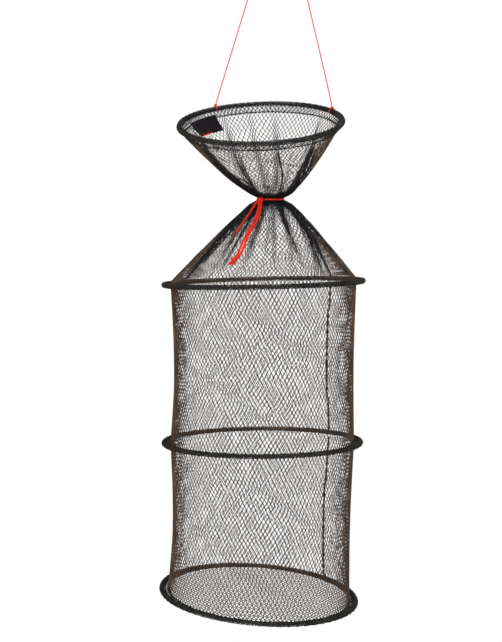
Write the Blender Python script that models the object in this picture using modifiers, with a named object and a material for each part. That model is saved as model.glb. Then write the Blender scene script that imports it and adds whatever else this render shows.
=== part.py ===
"""Keep net: a tube of netting on steel hoops, drawn in at the neck and hung on a thin cord.

Metres, +Z up. The origin is the top of the hanging cord's bight, where a hook or a branch
holds the net up. +X is to the right and +Y is to the back, seen from the front.
"""

import math

import bmesh
import bpy
import numpy as np
from mathutils import Matrix, Vector

# Rounds: one count of facets, so that every round piece lines up with its neighbour
ROUND_SEGMENTS = 36
SHARP_ANGLE = 40.0
WELD_DISTANCE = 0.00001

# Netting, and the gap that touching pieces keep
NET_THICKNESS = 0.0012
SEAT_GAP = 0.0003

# Hoops of steel wire, to the centre of the wire
HOOP_WIRE_RADIUS = 0.0025
HOOP_WIRE_SIDES = 6
MOUTH_HOOP_RADIUS = 0.155
BODY_HOOP_RADIUS = 0.199

# Hem sleeves: the net folded round the wire, its two layers lying together inside it
SLEEVE_SLACK = 0.001
HEM_WIDTH = 0.014
HEM_SLIT = 0.0004
BEAD_ARC_SEGMENTS = 5

# The mouth's hem: turned down from its ring's plane along the funnel's wall, in degrees
MOUTH_HEM_WIDTH = 0.018
MOUTH_HEM_TILT = 58.0

# How far each ring's centre hangs below the one above it, the first below the top of the cord
MOUTH_DROP = 0.349
NECK_DROP = 0.143
SHOULDER_DROP = 0.167
MIDDLE_DROP = 0.324
BOTTOM_DROP = 0.314

# Where each ring's centre lies: to the right of the top of the cord, and to its back
MOUTH_OFFSET = (-0.0349, -0.086)
NECK_OFFSET = (-0.0145, 0.004)
SHOULDER_OFFSET = (-0.0284, 0.016)
MIDDLE_OFFSET = (-0.0305, 0.020)
BOTTOM_OFFSET = (-0.0375, 0.018)

# How each ring hangs, in degrees: back edge raised, right edge raised
MOUTH_LEAN = (18.3, 2.4)
NECK_LEAN = (4.0, 0.0)
SHOULDER_LEAN = (-0.8, 1.3)
MIDDLE_LEAN = (-2.6, 0.3)
BOTTOM_LEAN = (-0.8, -4.1)

# Neck: the net gathered into a bundle, with a groove for the drawcord
BUNDLE_RADIUS = 0.0265
BUNDLE_WAIST_RADIUS = 0.023
BUNDLE_HALF_HEIGHT = 0.007
BUNDLE_PLEAT_DEPTH = 0.002
CUFF_INSET = 0.0015

# Gathered nets: folds that run out from the neck
PLEAT_COUNT = 9
PLEAT_DEPTH = 0.009
CUFF_HEIGHT = 0.004
FOLD_ONSET_SHARE = 0.6
FUNNEL_BULGE = 0.013
FUNNEL_ROWS = 5
SHOULDER_BULGE = 0.008
SHOULDER_ROWS = 5

# Tubular panels between the body hoops
PANEL_WAIST = 0.005
PANEL_FOLD_DEPTH = 0.0018
PANEL_FOLD_COUNT = 5
PANEL_ROWS = 5
PANEL_STRAND = 0.006

# Base: flat net with diamond openings
BASE_THICKNESS = 0.0012
BASE_PITCH = 0.040
BASE_STRAND = 0.005
BASE_RIM = 0.004

# Seams: a sewn cord down the outside of the net
SEAM_RADIUS = 0.0014
SIDE_SEAM_STEP = 4
FUNNEL_SEAM_STEP = 28

# Label: a woven tag sewn under the mouth hem
LABEL_FIRST_STEP = 13
LABEL_LAST_STEP = 16
LABEL_START = 0.010
LABEL_DROP = 0.037
LABEL_THICKNESS = 0.0008

# Hanging cord, and the knots that hold it to the mouth ring
CORD_RADIUS = 0.001
CORD_STEP = 0.009
CORD_SIDES = 8
TRIM_SIDES = 6
ROUTE_FINENESS = 24
LEFT_KNOT_ANGLE = 124.4
RIGHT_KNOT_ANGLE = 24.2
RING_KNOT_RADIUS = 0.003
RING_KNOT_SEGMENTS = 8
RING_KNOT_RINGS = 6
RING_LOOP_SPREAD = 150.0
RING_LOOP_POINTS = 11
CORD_ROUTE = [
    (-0.12309, 0.03226, -0.30194),
    (-0.11520, 0.03065, -0.27625),
    (-0.10330, 0.02748, -0.23860),
    (-0.09000, 0.02394, -0.19660),
    (-0.07680, 0.02043, -0.15490),
    (-0.06380, 0.01697, -0.11380),
    (-0.05160, 0.01373, -0.07530),
    (-0.04330, 0.01152, -0.05000),
    (-0.03550, 0.00944, -0.02650),
    (-0.02440, 0.00649, -0.00980),
    (0.0, 0.0, 0.0),
    (0.02440, -0.00649, -0.00920),
    (0.03590, -0.00955, -0.02500),
    (0.04250, -0.01131, -0.05000),
    (0.04900, -0.01304, -0.07700),
    (0.05770, -0.01535, -0.11300),
    (0.06960, -0.01852, -0.16300),
    (0.08140, -0.02166, -0.21300),
    (0.09330, -0.02482, -0.26300),
    (0.10398, -0.02819, -0.31243),
]

# Drawcord: a band round the neck, a knot on its front left, a long doubled tail and a short one.
# The tails' routes are measured from the centre of the knot.
DRAWCORD_RADIUS = 0.002
DRAWCORD_STEP = 0.010
DRAWCORD_KNOT_RADIUS = 0.0065
DRAWCORD_KNOT_ANGLE = 228.0
BAND_POINTS = 25
KNOT_SEGMENTS = 12
KNOT_RINGS = 9
END_KNOT_RADIUS = 0.008
END_KNOT_PLACE = (-0.0520, -0.1129, -0.1161)
LONG_TAIL_LEFT_ROUTE = [
    (-0.0025, -0.0039, -0.0060),
    (-0.0039, -0.0161, -0.0196),
    (-0.0083, -0.0309, -0.0329),
    (-0.0145, -0.0437, -0.0466),
    (-0.0222, -0.0564, -0.0593),
    (-0.0297, -0.0686, -0.0724),
    (-0.0360, -0.0806, -0.0856),
    (-0.0405, -0.0919, -0.0976),
    (-0.0452, -0.0996, -0.1069),
    (-0.0496, -0.1053, -0.1123),
]
LONG_TAIL_RIGHT_ROUTE = [
    (0.0019, -0.0052, -0.0055),
    (0.0006, -0.0167, -0.0204),
    (-0.0040, -0.0317, -0.0340),
    (-0.0102, -0.0449, -0.0476),
    (-0.0179, -0.0577, -0.0604),
    (-0.0252, -0.0701, -0.0732),
    (-0.0301, -0.0824, -0.0862),
    (-0.0349, -0.0945, -0.0982),
    (-0.0407, -0.1022, -0.1082),
    (-0.0456, -0.1075, -0.1129),
]
SHORT_TAIL_ROUTE = [
    (-0.0059, -0.0007, -0.0036),
    (-0.0101, -0.0002, -0.0092),
    (-0.0159, -0.0012, -0.0189),
    (-0.0231, -0.0077, -0.0300),
    (-0.0314, -0.0197, -0.0419),
    (-0.0397, -0.0347, -0.0544),
    (-0.0472, -0.0431, -0.0642),
]
SHORT_TAIL_TIP_ROUTE = [
    (-0.0474, -0.0433, -0.0645),
    (-0.0511, -0.0464, -0.0689),
    (-0.0547, -0.0495, -0.0732),
]

# Colours as red, green, blue
NET_COLOUR = (0.055, 0.045, 0.04)
HEM_COLOUR = (0.03, 0.03, 0.027)
STEEL_COLOUR = (0.42, 0.43, 0.44)
CORD_COLOUR = (0.80, 0.045, 0.03)
LABEL_COLOUR = (0.018, 0.015, 0.022)
TIP_COLOUR = (0.16, 0.012, 0.014)


def bead_radius():
    """Middle of the net where it wraps the wire, from the wire's centre."""
    return HOOP_WIRE_RADIUS + SLEEVE_SLACK + NET_THICKNESS / 2


def bead_outside():
    """Outer face of the wrapped net, from the wire's centre."""
    return bead_radius() + NET_THICKNESS / 2


def leg_height():
    """Middle of one of the hem's two layers, above the ring's plane."""
    return (HEM_SLIT + NET_THICKNESS) / 2


def hem_top():
    """Top face of the hem, above the ring's plane."""
    return leg_height() + NET_THICKNESS / 2


def wall_radius(hoop_radius):
    """Inner edge of a hem, where the net's wall meets it."""
    return hoop_radius - HEM_WIDTH


def on_mouth_hem(along, inwards):
    """Radius and height at a distance down the mouth's hem, and off its middle to the inside."""
    tilt = math.radians(MOUTH_HEM_TILT)
    radius = MOUTH_HOOP_RADIUS - along * math.cos(tilt) - inwards * math.sin(tilt)
    return radius, inwards * math.cos(tilt) - along * math.sin(tilt)


def mouth_cuff():
    """Where the funnel's net meets the mouth's hem, and a cuff's height further down."""
    start = MOUTH_HEM_WIDTH + SEAT_GAP
    return on_mouth_hem(start, 0), on_mouth_hem(start + CUFF_HEIGHT, 0)


def body_cuff(side):
    """Where a net meets a body ring's hem square, and a cuff's height further off."""
    wide = wall_radius(BODY_HOOP_RADIUS) + NET_THICKNESS / 2
    start = -side * (hem_top() + SEAT_GAP)
    return (wide, start), (wide, start - side * CUFF_HEIGHT)


def ring_matrix(place, lean):
    """Frame of a ring: its place, leant to the back and then to the right."""
    back, right = (math.radians(angle) for angle in lean)
    return Matrix.Translation(place) @ Matrix.Rotation(-right, 4, "Y") @ Matrix.Rotation(back, 4, "X")


def facet_radius(radius, angle):
    """Distance to a regular polygon's edge in the direction of an angle in radians."""
    step = 2 * math.pi / ROUND_SEGMENTS
    off_middle = angle % step - step / 2
    return radius * math.cos(step / 2) / math.cos(off_middle)


def round_angles():
    """The angles of the facets' corners."""
    return np.arange(ROUND_SEGMENTS) * 2 * math.pi / ROUND_SEGMENTS


def ring_points(matrix, radii, height):
    """One point for each corner, at the given radii and height in a ring's frame, in the world."""
    angles = round_angles()
    radii = np.broadcast_to(radii, angles.shape)
    local = [(r * math.cos(a), r * math.sin(a), height) for r, a in zip(radii, angles)]
    return np.array([matrix @ Vector(point) for point in local])


def smooth_route(points, step):
    """Points about a step apart on a smooth curve that passes through every given point."""
    first, last = 2 * points[0] - points[1], 2 * points[-1] - points[-2]
    held = np.vstack([first, points, last])
    fine = []
    for i in range(1, len(held) - 2):
        a, b, c, d = held[i - 1 : i + 3]
        for t in np.linspace(0, 1, ROUTE_FINENESS, endpoint=False):
            fine.append(
                0.5 * (2 * b + (c - a) * t + (2 * a - 5 * b + 4 * c - d) * t**2
                       + (3 * b - a - 3 * c + d) * t**3)
            )
    fine = np.array(fine + [points[-1]])
    along = np.concatenate([[0.0], np.cumsum(np.linalg.norm(np.diff(fine, axis=0), axis=1))])
    count = max(2, round(along[-1] / step) + 1)
    wanted = np.linspace(0, along[-1], count)
    return np.column_stack([np.interp(wanted, along, fine[:, k]) for k in range(3)])


def make_material(name, colour, roughness, metallic=0):
    """A plain surface of one colour."""
    material = bpy.data.materials.new(name)
    material.use_nodes = True
    shader = material.node_tree.nodes["Principled BSDF"]
    shader.inputs["Base Color"].default_value = (*colour, 1)
    shader.inputs["Roughness"].default_value = roughness
    shader.inputs["Metallic"].default_value = metallic
    material.diffuse_color = (*colour, 1)
    return material


def make_frame(name, matrix, collection):
    """An empty that carries the pieces of one ring."""
    frame = bpy.data.objects.new(name, None)
    frame.matrix_world = matrix
    collection.objects.link(frame)
    return frame


def add_object(name, data, material, collection, frame, placed_in_world=True):
    """An object on a frame; its data is in the world's coordinates or in the frame's own."""
    item = bpy.data.objects.new(name, data)
    data.materials.append(material)
    collection.objects.link(item)
    if placed_in_world:
        data.transform(frame.matrix_world.inverted())
    item.parent = frame
    return item


def shade_round(mesh):
    """Smooth shading with creases kept sharp."""
    mesh.shade_smooth()
    mesh.set_sharp_from_angle(angle=math.radians(SHARP_ANGLE))


def make_hoop(name, radius, material, collection, frame):
    """A wire hoop in its frame's plane."""
    bpy.ops.mesh.primitive_torus_add(
        major_radius=radius,
        minor_radius=HOOP_WIRE_RADIUS,
        major_segments=ROUND_SEGMENTS,
        minor_segments=HOOP_WIRE_SIDES,
    )
    made = bpy.context.active_object
    mesh = made.data
    bpy.data.objects.remove(made)
    mesh.name = name
    shade_round(mesh)
    return add_object(name, mesh, material, collection, frame, placed_in_world=False)


def make_sleeve(name, hoop_radius, width, tilt, material, collection, frame):
    """A hem turned round its wire: in along one layer, round the bead, and back along the other."""
    bead, height = bead_radius(), leg_height()
    closing = math.asin(height / bead)
    start, sweep = math.pi - closing, 2 * (math.pi - closing)
    profile = [(-width, 0, height)]
    for i in range(BEAD_ARC_SEGMENTS + 1):
        angle = start - sweep * i / BEAD_ARC_SEGMENTS
        profile.append((bead * math.cos(angle), 0, bead * math.sin(angle)))
    profile.append((-width, 0, -height))
    edges = [(i, i + 1) for i in range(len(profile) - 1)]
    mesh = bpy.data.meshes.new(name)
    mesh.from_pydata(profile, edges, [])
    mesh.transform(Matrix.Rotation(math.radians(-tilt), 4, "Y"))
    mesh.transform(Matrix.Translation((hoop_radius, 0, 0)))
    sleeve = add_object(name, mesh, material, collection, frame, placed_in_world=False)
    turn = sleeve.modifiers.new("turn", "SCREW")
    turn.axis = "Z"
    turn.angle = 2 * math.pi
    turn.steps = turn.render_steps = ROUND_SEGMENTS
    turn.use_merge_vertices = True
    turn.merge_threshold = WELD_DISTANCE
    turn.use_smooth_shade = True
    add_thickness(sleeve, NET_THICKNESS)
    return sleeve


def add_thickness(item, thickness):
    """Turns an open surface into a shell with the surface at its middle."""
    shell = item.modifiers.new("thickness", "SOLIDIFY")
    shell.thickness = thickness
    shell.offset = 0


def make_loft(name, rows, material, collection, frame):
    """A net tube through rows of corner points, each row going once round."""
    count = len(rows[0])
    points = [tuple(point) for row in rows for point in row]
    faces = []
    for row in range(len(rows) - 1):
        for i in range(count):
            j = (i + 1) % count
            low, high = row * count, (row + 1) * count
            faces.append((low + i, low + j, high + j, high + i))
    mesh = bpy.data.meshes.new(name)
    mesh.from_pydata(points, [], faces)
    shade_round(mesh)
    item = add_object(name, mesh, material, collection, frame)
    add_thickness(item, NET_THICKNESS)
    return item


def make_diamond_net(name, rows, material, collection, frame):
    """A net tube as a lattice of diamond openings, closed along the cuffs at both ends.

    An opening's diamond has its corners on the four grid points next to its middle, and
    the openings of each row stand half a pitch over from those of the next. Strands of one
    width are left between them.
    """
    count, last = len(rows[0]), len(rows) - 2
    work = bmesh.new()
    grid = [[work.verts.new(point) for point in row] for row in rows]
    for row in (0, last):
        for i in range(count):
            low, high, j = grid[row], grid[row + 1], (i + 1) % count
            work.faces.new((low[i], low[j], high[j], high[i]))
    for row in range(1, last + 1):
        for i in range(row % 2, count, 2):
            middle, right, left = grid[row][i], grid[row][(i + 1) % count], grid[row][i - 1]
            above, below = grid[row + 1][i], grid[row - 1][i]
            if row == 1:
                work.faces.new((middle, right, above))
                work.faces.new((middle, above, left))
            elif row == last:
                work.faces.new((middle, left, below))
                work.faces.new((middle, below, right))
            else:
                across = (right.co - left.co).length / 2
                upright = (above.co - below.co).length / 2
                to_side = across * upright / math.hypot(across, upright)
                share = 1 - PANEL_STRAND / 2 / to_side
                outer = (right, above, left, below)
                inner = [work.verts.new(middle.co.lerp(corner.co, share)) for corner in outer]
                for k in range(4):
                    work.faces.new((outer[k - 1], outer[k], inner[k], inner[k - 1]))
                work.verts.remove(middle)
    mesh = bpy.data.meshes.new(name)
    work.to_mesh(mesh)
    work.free()
    shade_round(mesh)
    item = add_object(name, mesh, material, collection, frame)
    add_thickness(item, NET_THICKNESS)
    return item


def pleat_wave():
    """Folds round the neck, from -1 in a valley to 1 on a crest."""
    return np.cos(PLEAT_COUNT * round_angles())


def gathered_rows(neck, ring, cuff, bulge, row_count, side):
    """Rows of a gathered net from the neck bundle to a ring; side is 1 above the neck, -1 below.

    The net leaves the bundle square and meets the ring's hem along its cuff, given as two
    pairs of radius and height. Between them its points run straight from neck to ring, pushed
    outwards by a bulge and by folds that are deepest near the neck.
    """
    neck_start = side * (BUNDLE_HALF_HEIGHT + SEAT_GAP)
    neck_turn = neck_start + side * CUFF_HEIGHT
    narrow = BUNDLE_RADIUS - CUFF_INSET + BUNDLE_PLEAT_DEPTH * pleat_wave()
    low = ring_points(neck, narrow, neck_turn)
    high = ring_points(ring, *cuff[1])
    angles = round_angles()
    outwards = np.column_stack([np.cos(angles), np.sin(angles), np.zeros(len(angles))])
    rows = [ring_points(neck, narrow, neck_start)]
    for i in range(row_count + 1):
        share = i / row_count
        swell = bulge * math.sin(math.pi * share)
        folds = PLEAT_DEPTH * math.sin(math.pi * share**FOLD_ONSET_SHARE) * (1 - share) * pleat_wave()
        rows.append(low + (high - low) * share + outwards * (swell + folds)[:, None])
    rows.append(ring_points(ring, *cuff[0]))
    return rows


def panel_rows(top, bottom):
    """Rows of a tubular panel, drawn in a little at half height, with shallow upright folds."""
    low, high = body_cuff(-1), body_cuff(1)
    ends = [
        ring_points(bottom, *low[0]),
        ring_points(bottom, *low[1]),
        ring_points(top, *high[1]),
        ring_points(top, *high[0]),
    ]
    angles = round_angles()
    outwards = np.column_stack([np.cos(angles), np.sin(angles), np.zeros(len(angles))])
    rows = [ends[0], ends[1]]
    for i in range(1, PANEL_ROWS):
        share = i / PANEL_ROWS
        draw = math.sin(math.pi * share)
        folds = PANEL_FOLD_DEPTH * draw * np.cos(PANEL_FOLD_COUNT * angles)
        shift = folds - PANEL_WAIST * draw
        rows.append(ends[1] + (ends[2] - ends[1]) * share + outwards * shift[:, None])
    return rows + [ends[2], ends[3]]


def make_tube(name, points, radius, sides, material, collection, frame):
    """A round cord through points, with filled ends."""
    curve = bpy.data.curves.new(name, "CURVE")
    curve.dimensions = "3D"
    curve.bevel_depth = radius
    curve.bevel_resolution = sides // 2 - 2
    curve.use_fill_caps = True
    spline = curve.splines.new("POLY")
    spline.points.add(len(points) - 1)
    for place, point in zip(spline.points, points):
        place.co = (*point, 1)
    return add_object(name, curve, material, collection, frame)


def make_seam(name, rows, step, material, collection, frame):
    """A sewn cord that follows one column of a net's rows, a seat's gap off its face."""
    path = np.array([row[step] for row in rows])
    middle = np.array([row.mean(axis=0) for row in rows])
    away = path - middle
    away[:, 2] = 0
    away /= np.linalg.norm(away, axis=1)[:, None]
    lean = np.gradient(path, axis=0)
    lean /= np.linalg.norm(lean, axis=1)[:, None]
    square = away - lean * np.sum(away * lean, axis=1)[:, None]
    square /= np.linalg.norm(square, axis=1)[:, None]
    route = path + square * (NET_THICKNESS / 2 + SEAT_GAP + SEAM_RADIUS)
    return make_tube(name, route, SEAM_RADIUS, TRIM_SIDES, material, collection, frame)


def make_base(name, radius, material, collection, frame):
    """A flat round net: an outline with rows of diamond openings, each row half a pitch over."""
    curve = bpy.data.curves.new(name, "CURVE")
    curve.dimensions = "2D"
    curve.fill_mode = "BOTH"
    curve.extrude = BASE_THICKNESS / 2

    def add_outline(points):
        spline = curve.splines.new("POLY")
        spline.points.add(len(points) - 1)
        for place, (x, y) in zip(spline.points, points):
            place.co = (x, y, 0, 1)
        spline.use_cyclic_u = True

    edge = radius - SEAT_GAP
    add_outline([(edge * math.cos(a), edge * math.sin(a)) for a in round_angles()])
    half = (BASE_PITCH - BASE_STRAND) / 2
    reach = math.ceil(2 * radius / BASE_PITCH)
    for row in range(-reach, reach + 1):
        for column in range(-reach, reach + 1):
            x = (column + (row % 2) / 2) * BASE_PITCH
            y = row * BASE_PITCH / 2
            diamond = [(x + half, y), (x, y + half), (x - half, y), (x, y - half)]
            if max(math.hypot(*corner) for corner in diamond) < facet_radius(radius, 0) - BASE_RIM:
                add_outline(diamond)
    return add_object(name, curve, material, collection, frame, placed_in_world=False)


def make_bundle(name, material, collection, frame):
    """The gathered net at the neck: a pleated plug with a plain groove for the drawcord."""
    groove = DRAWCORD_RADIUS + SEAT_GAP
    pleated = BUNDLE_RADIUS + BUNDLE_PLEAT_DEPTH * pleat_wave()
    stations = [
        (BUNDLE_HALF_HEIGHT, pleated),
        (groove, BUNDLE_WAIST_RADIUS),
        (-groove, BUNDLE_WAIST_RADIUS),
        (-BUNDLE_HALF_HEIGHT, pleated),
    ]
    rows = [ring_points(Matrix.Identity(4), radii, height) for height, radii in stations]
    count = ROUND_SEGMENTS
    points = [tuple(point) for row in rows for point in row]
    faces = [tuple(range(count)), tuple(reversed(range(3 * count, 4 * count)))]
    for row in range(3):
        for i in range(count):
            j = (i + 1) % count
            high, low = row * count, (row + 1) * count
            faces.append((high + i, low + i, low + j, high + j))
    mesh = bpy.data.meshes.new(name)
    mesh.from_pydata(points, [], faces)
    shade_round(mesh)
    return add_object(name, mesh, material, collection, frame, placed_in_world=False)


def make_ball(name, centre, radius, segments, rings, material, collection, frame):
    """A knot as a round ball."""
    mesh = bpy.data.meshes.new(name)
    ball = bmesh.new()
    bmesh.ops.create_uvsphere(ball, u_segments=segments, v_segments=rings, radius=radius)
    ball.to_mesh(mesh)
    ball.free()
    mesh.transform(Matrix.Translation(centre))
    shade_round(mesh)
    return add_object(name, mesh, material, collection, frame)


def mesh_copy(item):
    """The finished mesh of an object, welded, as a new object; the old one is removed."""
    evaluated = item.evaluated_get(bpy.context.evaluated_depsgraph_get())
    mesh = bpy.data.meshes.new_from_object(evaluated)
    work = bmesh.new()
    work.from_mesh(mesh)
    bmesh.ops.remove_doubles(work, verts=work.verts, dist=WELD_DISTANCE)
    bmesh.ops.recalc_face_normals(work, faces=work.faces)
    work.to_mesh(mesh)
    work.free()
    copy = bpy.data.objects.new(item.name, mesh)
    for owner in item.users_collection:
        owner.objects.link(copy)
    copy.parent = item.parent
    name = item.name
    bpy.data.objects.remove(item)
    copy.name = name
    return copy


def ring_knot_centre(matrix, degrees):
    """Centre of the ball of a ring knot, which the swing's axis passes through."""
    angle = math.radians(degrees)
    radius = facet_radius(MOUTH_HOOP_RADIUS, angle)
    height = bead_outside() + SEAT_GAP + RING_KNOT_RADIUS
    return matrix @ Vector((radius * math.cos(angle), radius * math.sin(angle), height))


def make_ring_knot(name, degrees, material, collection, cutters, frame):
    """A cord looped round the mouth hem, with its knot as a ball on top."""
    matrix = frame.matrix_world
    angle = math.radians(degrees)
    radius = facet_radius(MOUTH_HOOP_RADIUS, angle)
    turn = bead_outside() + SEAT_GAP + CORD_RADIUS
    spread = math.radians(RING_LOOP_SPREAD)
    tilt = math.radians(MOUTH_HEM_TILT)
    loop = []
    for i in range(RING_LOOP_POINTS):
        around = tilt + spread * (1 - 2 * i / (RING_LOOP_POINTS - 1))
        out = radius + turn * math.cos(around)
        height = turn * math.sin(around)
        loop.append(matrix @ Vector((out * math.cos(angle), out * math.sin(angle), height)))
    tube = make_tube(name, loop, CORD_RADIUS, TRIM_SIDES, material, collection, frame)
    bpy.context.view_layer.update()
    tube = mesh_copy(tube)
    ball = make_ball(
        name + "_ball", ring_knot_centre(matrix, degrees), RING_KNOT_RADIUS,
        RING_KNOT_SEGMENTS, RING_KNOT_RINGS, material, cutters, frame,
    )
    ball.hide_render = True
    ball.display_type = "WIRE"
    join = tube.modifiers.new("knot", "BOOLEAN")
    join.operation = "UNION"
    join.object = ball
    return tube


def knot_stand_off():
    """How far out the drawcord's knot sits: clear of the bundle's waist and of its flared edge."""
    groove = DRAWCORD_RADIUS + SEAT_GAP
    reach = DRAWCORD_KNOT_RADIUS + SEAT_GAP
    flare = BUNDLE_RADIUS + BUNDLE_PLEAT_DEPTH - BUNDLE_WAIST_RADIUS
    rise = BUNDLE_HALF_HEIGHT - groove
    slope = math.hypot(flare, rise)
    beside_edge = (reach * slope - groove * flare) / rise
    return BUNDLE_WAIST_RADIUS + max(reach, beside_edge)


def knot_centre():
    """Centre of the drawcord's knot in the neck's frame."""
    angle = math.radians(DRAWCORD_KNOT_ANGLE)
    return Vector((knot_stand_off() * math.cos(angle), knot_stand_off() * math.sin(angle), 0))


def make_band(name, material, collection, frame):
    """The drawcord round the neck: an open ring whose two ends butt against the knot."""
    ring = BUNDLE_WAIST_RADIUS + SEAT_GAP + DRAWCORD_RADIUS
    outer = ring + DRAWCORD_RADIUS
    away, reach = knot_stand_off(), DRAWCORD_KNOT_RADIUS + SEAT_GAP
    stop = math.acos(min(1, (away**2 + outer**2 - reach**2) / (2 * away * outer)))
    middle = math.radians(DRAWCORD_KNOT_ANGLE)
    points = []
    for i in range(BAND_POINTS):
        angle = middle + stop + (2 * math.pi - 2 * stop) * i / (BAND_POINTS - 1)
        points.append(frame.matrix_world @ Vector((ring * math.cos(angle), ring * math.sin(angle), 0)))
    return make_tube(name, points, DRAWCORD_RADIUS, TRIM_SIDES, material, collection, frame)


def make_label(name, material, collection, frame):
    """A tag sewn inside the mouth's hem, hanging close along the funnel's wall."""
    off = hem_top() + SEAT_GAP + LABEL_THICKNESS / 2
    columns = slice(LABEL_FIRST_STEP, LABEL_LAST_STEP + 1)
    points = []
    for along in (LABEL_START, LABEL_START + LABEL_DROP / 2, LABEL_START + LABEL_DROP):
        points.append(ring_points(frame.matrix_world, *on_mouth_hem(along, off))[columns])
    count = len(points[0])
    faces = []
    for row in range(len(points) - 1):
        for i in range(count - 1):
            low, high = row * count, (row + 1) * count
            faces.append((low + i, low + i + 1, high + i + 1, high + i))
    mesh = bpy.data.meshes.new(name)
    mesh.from_pydata([tuple(point) for row in points for point in row], [], faces)
    shade_round(mesh)
    item = add_object(name, mesh, material, collection, frame)
    add_thickness(item, LABEL_THICKNESS)
    return item


def make_tails(red, tip, collection, frame):
    """The drawcord's ends: a doubled tail down to its end knot, and a short tail with a sealed tip."""
    knot = np.array(frame.matrix_world.translation)
    strands = {
        "long_tail_left_strand": (LONG_TAIL_LEFT_ROUTE, red),
        "long_tail_right_strand": (LONG_TAIL_RIGHT_ROUTE, red),
        "short_tail": (SHORT_TAIL_ROUTE, red),
        "short_tail_sealed_end": (SHORT_TAIL_TIP_ROUTE, tip),
    }
    for name, (route, material) in strands.items():
        points = knot + smooth_route(np.array(route), DRAWCORD_STEP)
        make_tube(name, points, DRAWCORD_RADIUS, CORD_SIDES, material, collection, frame)
    make_ball(
        "long_tail_end_knot", Vector(knot) + Vector(END_KNOT_PLACE), END_KNOT_RADIUS,
        KNOT_SEGMENTS, KNOT_RINGS, red, collection, frame,
    )


def clear_scene():
    """Removes whatever the scene holds."""
    for item in list(bpy.data.objects):
        bpy.data.objects.remove(item)


def main():
    clear_scene()
    collection = bpy.data.collections.new("keep_net")
    cutters = bpy.data.collections.new("cutters")
    for group in (collection, cutters):
        bpy.context.scene.collection.children.link(group)

    net = make_material("net", NET_COLOUR, roughness=0.8)
    hem = make_material("hem", HEM_COLOUR, roughness=0.75)
    steel = make_material("steel", STEEL_COLOUR, roughness=0.35, metallic=1)
    red = make_material("cord", CORD_COLOUR, roughness=0.6)
    tag = make_material("label", LABEL_COLOUR, roughness=0.7)
    tip = make_material("sealed_end", TIP_COLOUR, roughness=0.5)

    rings = {
        "mouth": (MOUTH_DROP, MOUTH_OFFSET, MOUTH_LEAN),
        "neck": (NECK_DROP, NECK_OFFSET, NECK_LEAN),
        "shoulder": (SHOULDER_DROP, SHOULDER_OFFSET, SHOULDER_LEAN),
        "middle": (MIDDLE_DROP, MIDDLE_OFFSET, MIDDLE_LEAN),
        "bottom": (BOTTOM_DROP, BOTTOM_OFFSET, BOTTOM_LEAN),
    }
    frames, height = {}, 0
    for name, (drop, offset, lean) in rings.items():
        height -= drop
        frames[name] = make_frame(name + "_frame", ring_matrix((*offset, height), lean), collection)
    top = make_frame("cord_frame", Matrix.Identity(4), collection)
    bpy.context.view_layer.update()
    at = {name: frame.matrix_world.copy() for name, frame in frames.items()}

    body_hem = (BODY_HOOP_RADIUS, HEM_WIDTH, 0)
    hems = {
        "mouth": (MOUTH_HOOP_RADIUS, MOUTH_HEM_WIDTH, MOUTH_HEM_TILT),
        "shoulder": body_hem,
        "middle": body_hem,
        "bottom": body_hem,
    }
    for name, sizes in hems.items():
        make_hoop(name + "_hoop", sizes[0], steel, collection, frames[name])
        make_sleeve(name + "_hem_sleeve", *sizes, hem, collection, frames[name])

    funnel = gathered_rows(at["neck"], at["mouth"], mouth_cuff(), FUNNEL_BULGE, FUNNEL_ROWS, 1)
    shoulder = gathered_rows(
        at["neck"], at["shoulder"], body_cuff(-1), SHOULDER_BULGE, SHOULDER_ROWS, -1
    )
    upper = panel_rows(at["shoulder"], at["middle"])
    lower = panel_rows(at["middle"], at["bottom"])
    nets = [
        ("funnel_net", make_loft, "funnel_seam", funnel, "mouth", FUNNEL_SEAM_STEP),
        ("shoulder_net", make_loft, "shoulder_seam", shoulder, "shoulder", SIDE_SEAM_STEP),
        ("upper_body_net", make_diamond_net, "upper_side_seam", upper, "middle", SIDE_SEAM_STEP),
        ("lower_body_net", make_diamond_net, "lower_side_seam", lower, "bottom", SIDE_SEAM_STEP),
    ]
    for panel, make_net, seam, rows, owner, step in nets:
        make_net(panel, rows, net, collection, frames[owner])
        make_seam(seam, rows[1:-1], step, net, collection, frames[owner])
    make_base("base_net", wall_radius(BODY_HOOP_RADIUS), net, collection, frames["bottom"])

    make_bundle("neck_bundle", hem, collection, frames["neck"])
    make_band("drawcord_band", red, collection, frames["neck"])
    knot = at["neck"] @ knot_centre()
    make_ball(
        "drawcord_knot", knot, DRAWCORD_KNOT_RADIUS,
        KNOT_SEGMENTS, KNOT_RINGS, red, collection, frames["neck"],
    )

    make_label("label_tag", tag, collection, frames["mouth"])
    ring_knots = {"left_ring_knot": LEFT_KNOT_ANGLE, "right_ring_knot": RIGHT_KNOT_ANGLE}
    for name, degrees in ring_knots.items():
        make_ring_knot(name, degrees, red, collection, cutters, frames["mouth"])
    tails = make_frame("tails_frame", Matrix.Translation(knot), collection)
    bpy.context.view_layer.update()
    make_tails(red, tip, collection, tails)
    route = smooth_route(np.array(CORD_ROUTE), CORD_STEP)
    make_tube("hanging_cord", route, CORD_RADIUS, CORD_SIDES, red, collection, top)


main()
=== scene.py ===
"""Looks of a keep net: knotted mesh on laced rings, drawn in at the neck and hung on a red cord.

Metres, +Z up. The origin is the top of the hanging cord's bight. +X is to the right and +Y to
the back, seen from the front.
"""

import math

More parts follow.
